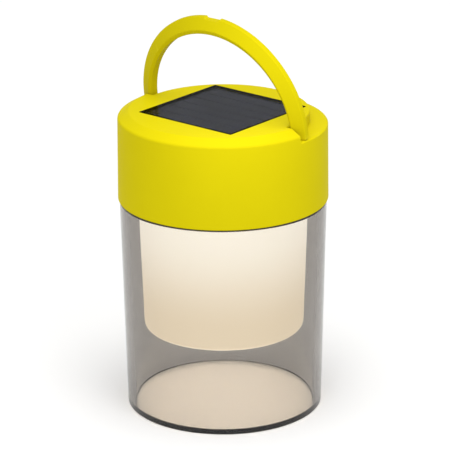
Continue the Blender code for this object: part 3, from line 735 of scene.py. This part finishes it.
def white_plastic(name, tint=(0.74, 0.74, 0.71)):
    """White moulded plastic with a fine spark-eroded texture and a little dust."""
    finish = Finish(name, Specular_IOR_Level=0.35)
    cloud, grain = finish.noise(18.0, 3.0), finish.noise(0.35, 2.0)
    worn = tuple(channel * 0.9 for channel in tint)
    finish.set(Base_Color=finish.mix(cloud, worn, tint), Roughness=0.42 + grain * 0.15,
               Normal=finish.relief(grain, 0.015))
    return finish


def node_middle(node):
    """The middle of a CAD node's box, in millimetres."""
    low, high = node_box(node)
    return (low + high) / 2


plate_low, plate_high = node_box("carrier_plate")
plate_radius, plate_z, ring_z, bay_top = plate_high.x, rim_z + 1.4, plate_low.z, plate_high.z
bay_roof = bay_top - 1.6
door_low, door_high = node_box("battery_door")
hinge_y, hinge_z = joint_place("battery_door_swing")[1:]
contact_nodes = ("contact_negative", "contact_positive")
contacts = [node_middle(node).x for node in contact_nodes]
bay_low_x, bay_high_x = door_low.x + 0.8, door_high.x - 0.8
strip_y = node_box("led_strip_rear")[0].y + 4.5
switch_y = node_middle("switch_knob").y
post_y = -36.0
post_places = [Vector((node_middle(node).x, post_y)) for node in ("board_screw_1", "board_screw_2")]

plate_mesh = turned([
    (0, plate_z), (plate_radius, plate_z, 0.5), (plate_radius, plate_top, 0.5), (0, plate_top),
])
diffuser_ring = turned([(50.0, ring_z, 0.3), (51.3, ring_z, 0.5), (51.3, plate_z + 1), (50.0, plate_z + 1)],
                       start=SECTION_TURN)
bay_half, post_top, door_cut_top = hinge_y + 2.2, 142.7, 138.2
bay_box = box_tool((bay_low_x - 1.6, -bay_half, plate_top - 1), (bay_high_x + 1.6, bay_half, bay_top))
bay_box = softened(bay_box, 0.6)
posts = [rod(2.6, (*place, plate_top - 1), (*place, post_top), 2.3) for place in post_places]
plate_mesh = combined(plate_mesh, diffuser_ring, bay_box, *posts, operation="UNION")
slot_half, wire_x = 1.5, 22
plate_cuts = [
    box_tool((bay_low_x, -8, plate_z - 1), (bay_high_x, 8, bay_roof)),
    box_tool((door_low.x - 0.3, -9.9, plate_z - 1), (door_high.x + 0.3, hinge_y + 1.6, door_cut_top)),
    box_tool((-5.4, -11.8, plate_z - 1), (5.4, -9.5, 137.0)),
    rod(0.9, (door_low.x - 3, hinge_y, hinge_z), (door_high.x + 3, hinge_y, hinge_z)),
    box_tool((-1.8, switch_y - slot_half, plate_z - 1), (4.8, switch_y + slot_half, plate_top + 1)),
]
plate_cuts += [rod(1.4, (x, 0, bay_roof - 1.5), (x, 0, bay_roof + 3)) for x in contacts]
plate_cuts += [rod(1.2, (wire_x, y, plate_z - 1), (wire_x, y, plate_top + 1)) for y in (-strip_y, strip_y)]
plate_cuts += [rod(1.05, (*place, post_top - 3.4), (*place, post_top + 0.8)) for place in post_places]
for place in boss_places:
    foot = (place.x, place.y, plate_z - 1)
    plate_cuts += [rod(1.5, foot, place + Vector((0, 0, 1))), rod(2.6, foot, place - Vector((0, 0, 1.1)))]
plate_mesh = combined(plate_mesh, *plate_cuts)
fitted("inner_plate", plate_mesh, white_plastic("plate_white"), "white_plastic", "cap", "carrier_plate")


def screw(head_radius, head_height, shank_radius, length, pitch):
    """A cross-head screw that stands on its head at the origin, with a cut thread and a pointed tip."""
    tip = head_height + length
    body = turned([(0, 0), (head_radius - 0.3, 0, 0.25), (head_radius, head_height * 0.6, 0.3),
                   (head_radius, head_height, 0.1), (shank_radius * 0.75, head_height),
                   (shank_radius * 0.75, tip - 1.2), (0, tip)], steps=32, arc_steps=4)
    turns = int((length - 2) / pitch)
    root = shank_radius * 0.6
    thread = turned([(root, head_height + 0.6), (shank_radius, head_height + 0.6 + pitch * 0.3),
                     (root, head_height + 0.6 + pitch * 0.6)],
                    angle=360.0 * turns, start=SECTION_TURN * 7, rise=pitch * turns, steps=24 * turns)
    slots = [box_tool((-across, -along, -1), (across, along, head_height * 0.6))
             for across, along in ((0.22, head_radius * 0.55), (head_radius * 0.55, 0.22))]
    return combined(combined(body, thread, operation="UNION"), *slots)


screw_steel = turned_steel("screw_steel", 0.2)
for number, place in enumerate(boss_places, 1):
    screw_mesh = shifted(screw(2.2, 1.5, 1.2, 10.0, 0.9), (place.x, place.y, plate_z + 0.1))
    fitted(f"plate_screw_{number}", screw_mesh, screw_steel, "screw_steel", "cap", f"carrier_screw_{number}")

# ----------------------------------------------- battery, contacts and door
# One rechargeable cell in a shrunk sleeve lies between a plain contact and a conical spring. A white door
# with finger ridges closes the bay; it swings on a thin steel pin.


def nickel_plate():
    """Plated spring strip, slightly mottled."""
    finish = Finish("nickel_plate", Metallic=1.0)
    mottle = finish.noise(1.2, 4.0)
    finish.set(Base_Color=finish.mix(mottle, (0.58, 0.55, 0.48), (0.74, 0.72, 0.66)),
               Roughness=0.20 + mottle * 0.2, Normal=finish.relief(mottle, 0.01))
    return finish


def cell_sleeve():
    """Green shrunk sleeve with a pale band, bare steel at both ends."""
    finish = Finish("cell_sleeve", Specular_IOR_Level=0.5)
    x = finish.axis("X")
    crinkle = finish.noise(1.5, 3.0)
    band = (x > 9.0) * (x < 17.0)
    bare = (x > cell_high.x - 2.2).either(x < cell_low.x + 0.5)
    green = finish.mix(crinkle, (0.020, 0.150, 0.050), (0.030, 0.190, 0.065))
    sleeve = finish.mix(band, green, (0.62, 0.64, 0.60))
    finish.set(Base_Color=finish.mix(bare, sleeve, (0.62, 0.61, 0.58)), Metallic=bare,
               Roughness=0.28 + crinkle * 0.15, Normal=finish.relief(crinkle, 0.02))
    return finish


nickel = nickel_plate()
for node in contact_nodes:
    fitted(node + "_leaf", node_block(node, 0.12), nickel, "nickel_plate", "cap", node)

cell_low, cell_high = node_box("battery_cell")
cell_z = (cell_low.z + cell_high.z) / 2
cell_length, cell_radius = cell_high.x - cell_low.x, cell_high.y
cell_mesh = turned([
    (0, 0), (cell_radius - 0.4, 0, 0.3), (cell_radius, 0.9, 0.4), (cell_radius, cell_length - 2, 0.5),
    (cell_radius - 1.2, cell_length - 1.5, 0.3), (3.1, cell_length - 1.5, 0.3), (2.7, cell_length, 0.4),
    (0, cell_length),
], steps=72, arc_steps=4)
cell_mesh = shifted(swung(cell_mesh, 90, "Y"), (cell_low.x, 0, cell_z))
fitted("rechargeable_cell", cell_mesh, cell_sleeve(), "cell_sleeve", "cap", "battery_cell")


def smooth_route(stations, steps):
    """Points on a smooth curve through stations."""
    ends = [Vector(station) for station in stations]
    ends = [2 * ends[0] - ends[1]] + ends + [2 * ends[-1] - ends[-2]]
    points = []
    for a, b, c, d in zip(ends, ends[1:], ends[2:], ends[3:]):
        for step in range(steps):
            t = step / steps
            points.append(0.5 * (2 * b + (c - a) * t + (2 * a - 5 * b + 4 * c - d) * t * t
                                 + (3 * b - a - 3 * c + d) * t ** 3))
    return points + [ends[-2]]


def wire(points, radius):
    """A round wire along points, with closed ends."""
    curve = bpy.data.curves.new("wire", "CURVE")
    curve.dimensions = "3D"
    curve.bevel_depth = radius
    curve.bevel_resolution = 4
    curve.use_fill_caps = True
    spline = curve.splines.new("POLY")
    spline.points.add(len(points) - 1)
    for spot, point in zip(spline.points, points):
        spot.co = (*point, 1.0)
    holder = placed("wire", curve)
    mesh = bmesh.new()
    mesh.from_mesh(holder.evaluated_get(bpy.context.evaluated_depsgraph_get()).to_mesh())
    bpy.data.curves.remove(curve)
    bmesh.ops.remove_doubles(mesh, verts=mesh.verts, dist=1e-4)
    return outward(mesh)


spring_low, spring_high = node_box("battery_spring")
spring_turns, spring_wire = 2.5, 0.35
coil = []
for index in range(81):
    share = index / 80
    turn = 2 * math.pi * spring_turns * share
    radius = 4.6 - 1.8 * share
    coil.append((spring_low.x + spring_wire + (spring_high.x - spring_low.x - 2 * spring_wire) * share,
                 radius * math.cos(turn), cell_z + radius * math.sin(turn)))
fitted("contact_spring", wire(coil, spring_wire), turned_steel("spring_steel", 0.3), "spring_steel", "cap",
       "battery_spring")

door_under, door_top = door_low.z, door_low.z + 1.5
door_leaf = softened(box_tool((door_low.x, -9.5, door_under), (door_high.x, hinge_y - 0.4, door_top)), 0.3)
barrel = rod(1.1, (door_low.x, hinge_y, hinge_z), (door_high.x, hinge_y, hinge_z))
tab = softened(box_tool((-5, -11.3, door_under), (5, -9.2, door_under + 0.9)), 0.2)
groove_z = door_under - 0.15
grooves = [rod(0.45, (-6, y, groove_z), (6, y, groove_z), steps=16) for y in (-7.5, -6.0, -4.5)]
pin_bore = rod(0.75, (door_low.x - 2, hinge_y, hinge_z), (door_high.x + 2, hinge_y, hinge_z))
door_mesh = combined(combined(door_leaf, barrel, tab, operation="UNION"), *grooves, pin_bore)
door_white = white_plastic("door_white", (0.72, 0.72, 0.69))
fitted("bay_door", door_mesh, door_white, "white_plastic", "battery_door", "battery_door")
low, high = node_box("door_hinge_pin")
door_pin = softened(rod(0.6, (low.x, hinge_y, hinge_z), (high.x, hinge_y, hinge_z)), 0.15)
fitted("door_pin", door_pin, turned_steel("door_pin_steel", 0.2), "screw_steel", "cap", "door_hinge_pin")

# ------------------------------------------------------------ light source
# Two white boards under the carrier plate with three light-emitting diodes each, shining down into the
# diffuser. Each diode is a white package with a round pool of yellow phosphor.


def board_white():
    """White solder mask with a fine weave below it and tinned pads along the middle."""
    finish = Finish("board_white", Specular_IOR_Level=0.5)
    x, y = finish.axis("X"), finish.axis("Y")
    weave = finish.noise(0.4, 2.0)
    along, across = x.zigzag(10.0), abs(abs(y) - strip_y)
    pad = (along > 1.9) * (along < 3.2) * (across < 1.3)
    mask = finish.mix(weave, (0.72, 0.72, 0.69), (0.78, 0.78, 0.75))
    finish.set(Base_Color=finish.mix(pad, mask, grey(0.6)), Metallic=pad, Roughness=0.35 + weave * 0.15)
    return finish


def led_phosphor():
    """White package; inside its round rim the lit phosphor."""
    finish = Finish("led_phosphor", Emission_Strength=3.0)
    x, y = finish.axis("X"), finish.axis("Y")
    along, across = x.zigzag(10.0), abs(abs(y) - strip_y)
    pool = (along * along + across * across) < 0.81
    grain = finish.noise(0.15, 2.0)
    yellow = finish.mix(grain, (0.85, 0.62, 0.10), (0.90, 0.70, 0.16))
    finish.set(Base_Color=finish.mix(pool, (0.80, 0.80, 0.77), yellow),
               Emission_Color=finish.mix(pool, grey(0.0), (1.0, 0.86, 0.62)),
               Roughness=0.4 + grain * 0.1)
    return finish


strip_white, phosphor = board_white(), led_phosphor()
for node in ("led_strip_front", "led_strip_rear"):
    fitted(node + "_board", node_block(node, 0.1), strip_white, "board_white", "cap", node)
for number in range(1, 7):
    node = f"led_{number}"
    x, y, low_z = *node_middle(node).xy, node_box(node)[0].z
    pool = rod(1.15, (x, y, low_z - 0.1), (x, y, low_z + 0.3), 1.05, steps=40)
    package = combined(node_block(node, 0.12), pool)
    fitted(f"light_diode_{number}", package, phosphor, "led_phosphor", "cap", node)

# ------------------------------------------------------------------ switch
# A slide switch on the plate's upper side. Its ribbed black knob stands through a slot in the plate and is
# reached with the jar unscrewed.


def black_plastic(name):
    finish = Finish(name, Specular_IOR_Level=0.4)
    grain, cloud = finish.noise(0.25, 2.0), finish.noise(4.0, 2.0)
    finish.set(Base_Color=finish.mix(cloud, grey(0.010), grey(0.022)),
               Roughness=0.42 + grain * 0.2, Normal=finish.relief(grain, 0.012))
    return finish


switch_black = black_plastic("switch_black")
body_top = node_box("switch_body")[1].z
tags = [box_tool((x - 0.3, switch_y - 0.5, body_top - 0.5), (x + 0.3, switch_y + 0.5, body_top + 1.8))
        for x in (-2, 1.5, 5)]
switch_mesh = combined(node_block("switch_body", 0.35), *tags, operation="UNION")
fitted("slide_switch", switch_mesh, switch_black, "black_plastic", "cap", "switch_body")
low, high = node_box("switch_knob")
knob_grooves = [box_tool((x - 0.15, low.y - 1, low.z - 1), (x + 0.15, high.y + 1, low.z + 0.4))
                for x in (-0.8, 0, 0.8)]
knob_mesh = combined(node_block("switch_knob", 0.25), *knob_grooves)
fitted("slide_knob", knob_mesh, black_plastic("knob_black"), "black_plastic", "switch_knob", "switch_knob")

# ----------------------------------------------------------- control board
# A green board on two posts. It carries the charging chip, a wound inductor and a capacitor, and two screws
# hold it down.


def board_green():
    """Green solder mask over copper tracks, with tinned rings round the screw holes."""
    finish = Finish("board_green", Specular_IOR_Level=0.5)
    x, y = finish.axis("X"), finish.axis("Y")
    patches = finish.noise(7.0, 0.0)
    along = (y.zigzag(0.8) < 0.3) * (patches > 0.5)
    across = (x.zigzag(0.8) < 0.3) * (patches < 0.5)
    track = along.either(across)
    reach_x, reach_y = abs(x) - post_places[1].x, y - post_y
    ring = (reach_x * reach_x + reach_y * reach_y) < 7.3
    mask = finish.mix(track, (0.010, 0.085, 0.030), (0.022, 0.150, 0.052))
    finish.set(Base_Color=finish.mix(ring, mask, (0.62, 0.61, 0.58)), Metallic=ring,
               Roughness=0.30 + track * 0.08, Normal=finish.relief(track, 0.03))
    return finish


def chip_black():
    """Black moulded body and tinned legs."""
    finish = Finish("chip_black", Specular_IOR_Level=0.4)
    y, grain = finish.axis("Y"), finish.noise(0.2, 2.0)
    legs = (y < chip_low.y).either(y > chip_high.y)
    body = finish.mix(grain, grey(0.012), grey(0.02))
    finish.set(Base_Color=finish.mix(legs, body, grey(0.6)), Metallic=legs,
               Roughness=0.45 + grain * 0.1)
    return finish


def inductor_finish():
    """Dark ferrite flanges with copper wire wound between them."""
    finish = Finish("ferrite", Specular_IOR_Level=0.4)
    z, grain = finish.axis("Z"), finish.noise(0.5, 3.0)
    wound = (z > coil_low.z + 0.9) * (z < coil_high.z - 0.9)
    flange = finish.mix(grain, (0.03, 0.03, 0.033), (0.06, 0.06, 0.064))
    finish.set(Base_Color=finish.mix(wound, flange, (0.75, 0.33, 0.14)), Metallic=wound,
               Roughness=0.5 - wound * 0.2)
    return finish


def capacitor_finish():
    """Dark blue shrunk sleeve with a pale stripe down one side, and a bare scored top."""
    finish = Finish("capacitor_sleeve", Specular_IOR_Level=0.5)
    x, z, grain = finish.axis("X"), finish.axis("Z"), finish.noise(1.0, 2.0)
    top = z > can_high.z - 0.25
    stripe = (x < can_low.x + 0.7) * (1 - top)
    blue = finish.mix(grain, (0.012, 0.018, 0.075), (0.018, 0.026, 0.100))
    sleeve = finish.mix(stripe, blue, (0.45, 0.47, 0.52))
    finish.set(Base_Color=finish.mix(top, sleeve, grey(0.66)), Metallic=top,
               Roughness=0.3 + grain * 0.1)
    return finish


low, high = node_box("control_board")
board_holes = [rod(1.25, (*place, low.z - 1), (*place, high.z + 1)) for place in post_places]
board_mesh = combined(node_block("control_board", 0.12), *board_holes)
fitted("charging_board", board_mesh, board_green(), "board_green", "cap", "control_board")
for number, place in enumerate(post_places, 1):
    node = f"board_screw_{number}"
    screw_mesh = swung(screw(1.9, 1.2, 0.95, 4.6, 0.7), 180, "X")
    shifted(screw_mesh, (place.x, place.y, node_box(node)[1].z))
    fitted(f"board_pan_screw_{number}", screw_mesh, screw_steel, "screw_steel", "cap", node)

chip_low, chip_high = node_box("control_chip")
legs = []
for x in (-5.9, -4.64, -3.36, -2.1):
    for y, out in ((chip_low.y, -1), (chip_high.y, 1)):
        near, far = sorted((y - out * 0.3, y + out * 0.7))
        legs.append(box_tool((x - 0.2, near, chip_low.z + 0.5), (x + 0.2, far, chip_low.z + 0.7)))
        near, far = sorted((y + out * 0.5, y + out * 1.2))
        legs.append(box_tool((x - 0.2, near, chip_low.z), (x + 0.2, far, chip_low.z + 0.7)))
chip_mesh = combined(node_block("control_chip", 0.15), *legs, operation="UNION")
fitted("charging_chip", chip_mesh, chip_black(), "black_plastic", "cap", "control_chip")

coil_low, coil_high = node_box("inductor")
coil_middle = node_middle("inductor")
winding = [(2.45 + 0.14 * (turn % 2), coil_low.z + 0.95 + 0.11 * turn) for turn in range(20)]
coil_mesh = turned([
    (0, coil_low.z), (3, coil_low.z, 0.2), (3, coil_low.z + 0.8, 0.2), *winding,
    (3, coil_high.z - 0.8, 0.2), (3, coil_high.z, 0.2), (0, coil_high.z),
], steps=48, arc_steps=3)
shifted(coil_mesh, (coil_middle.x, coil_middle.y, 0))
fitted("wound_inductor", coil_mesh, inductor_finish(), "ferrite", "cap", "inductor")

can_low, can_high = node_box("capacitor")
can_middle = node_middle("capacitor")
can_mesh = turned([
    (0, can_low.z), (2.5, can_low.z, 0.3), (2.5, can_low.z + 0.9), (2.3, can_low.z + 1.2),
    (2.5, can_low.z + 1.5), (2.5, can_high.z, 0.35), (2.1, can_high.z, 0.05),
    (2.0, can_high.z - 0.15), (0, can_high.z - 0.15),
], steps=48, arc_steps=4)
scores = [box_tool((-a, -b, can_high.z - 0.3), (a, b, can_high.z)) for a, b in ((0.08, 1.5), (1.5, 0.08))]
can_mesh = shifted(combined(can_mesh, *scores), (can_middle.x, can_middle.y, 0))
fitted("smoothing_capacitor", can_mesh, capacitor_finish(), "capacitor_sleeve", "cap", "capacitor")

# ------------------------------------------------------------------- wires
# Thin stranded wires in plastic jackets: a pair from the panel, a pair from the battery and one pair in a
# common jacket to each light board.


def wire_jacket(name, dark, light):
    """Soft jacket, a little shinier where it has been handled."""
    finish = Finish(name, Specular_IOR_Level=0.45)
    rub = finish.noise(2.5, 3.0)
    finish.set(Base_Color=finish.mix(rub, dark, light), Roughness=0.36 + rub * 0.2,
               Normal=finish.relief(finish.noise(0.3, 1.0), 0.01))
    return finish


jackets = {
    "wire_red": wire_jacket("wire_red", (0.42, 0.012, 0.010), (0.56, 0.020, 0.016)),
    "wire_black": wire_jacket("wire_black", grey(0.010), grey(0.024)),
    "wire_white": wire_jacket("wire_white", (0.66, 0.66, 0.64), (0.76, 0.76, 0.73)),
}
land = node_box("control_board")[1].z + 0.4
strip = node_box("led_strip_rear")[1].z + 0.4
under_board = node_box("control_board")[0].z - 0.4
under_panel = pocket_floor + 0.6
wire_roof = bay_roof - 1.0
negative_x, positive_x = contacts
wire_routes = {
    "panel_wire_red": ("wire_red", [
        (-4, -8, under_panel), (-4, -10, 176), (-9, -16, 163), (-15, -21, 152), (-17, -22, 147),
        (-17, -22, land),
    ]),
    "panel_wire_black": ("wire_black", [
        (-1, -8, under_panel), (-1, -10, 176), (-6, -16, 163), (-11, -21, 152), (-13, -22, 147),
        (-13, -22, land),
    ]),
    "battery_wire_red": ("wire_red", [
        (positive_x, 0, wire_roof), (positive_x, 0, 156.5), (24, -6, 162), (21, -14, 158), (20, -20, 150),
        (19.5, -21.5, land),
    ]),
    "battery_wire_black": ("wire_black", [
        (negative_x, 0, wire_roof), (negative_x, 0, 156.5), (-28, -6, 162), (-25, -15, 158),
        (-23.5, -20, 150), (-23, -21.5, land),
    ]),
    "led_wire_front": ("wire_white", [
        (wire_x, -strip_y, strip), (wire_x, -strip_y, 138), (22.2, -strip_y, 140.5),
        (wire_x, -strip_y, under_board),
    ]),
    "led_wire_rear": ("wire_white", [
        (wire_x, strip_y, strip), (wire_x, strip_y, 141), (20, 22, 152), (14, 10, 160), (9, -6, 161.5),
        (6, -16, 156), (5, -19.5, 149), (5, -20, land),
    ]),
}
for node, (jacket, stations) in wire_routes.items():
    fitted(node + "_lead", wire(smooth_route(stations, 12), 0.65), jackets[jacket], jacket, "cap", node)

# ---------------------------------------------------------------- diffuser
# An opal cup that hangs from the carrier plate and glows: near white at the top, where the light source is,
# and warmer and dimmer towards its foot, with a painted highlight, a paler glowing line, where its corner
# turns under.


def opal_plastic():
    finish = Finish("opal_plastic", Emission_Strength=1.0, Specular_IOR_Level=0.25)
    height = finish.axis("Z")
    mottle = finish.noise(7.0, 3.0)
    upper = finish.ramp(height, 62.0, 128.0)
    # foot marks the corner where the cup turns under; its brighter glow there is a painted highlight.
    foot = finish.ramp(height, 52.5, 50.0)
    glow = finish.mix(upper, (1.26, 1.08, 0.78), (1.66, 1.60, 1.41))
    glow = finish.mix(foot * 0.5, glow, (2.4, 2.2, 1.8))
    glow = finish.mix(height < foot_z + 0.1, glow, (1.6, 1.45, 1.15))
    finish.set(Base_Color=finish.mix(mottle, (0.30, 0.28, 0.25), (0.33, 0.31, 0.28)),
               Emission_Color=glow, Roughness=0.40 + mottle * 0.12,
               Normal=finish.relief(finish.noise(0.6, 2.0), 0.01))
    return finish


lip, neck, wall = 53.9, 52.2, 1.6
diffuser_low, diffuser_high = node_box("diffuser")
foot_z, lip_z = diffuser_low.z, diffuser_high.z
foot_corner = 49.7
neck_z, flare_z = foot_z + 76, foot_z + 83
diffuser_mesh = turned([
    (0, foot_z), (foot_corner, foot_z, 5.5), (neck, neck_z, 2.0), (lip, flare_z, 1.5), (lip, lip_z, 0.3),
    (lip - wall, lip_z, 0.3), (lip - wall, flare_z, 1.5), (neck - wall, neck_z, 2.0),
    (foot_corner - wall, foot_z + wall, 3.9), (0, foot_z + wall),
], arc_steps=10)
fitted("opal_cup", diffuser_mesh, opal_plastic(), "opal_plastic", "cap", "diffuser")
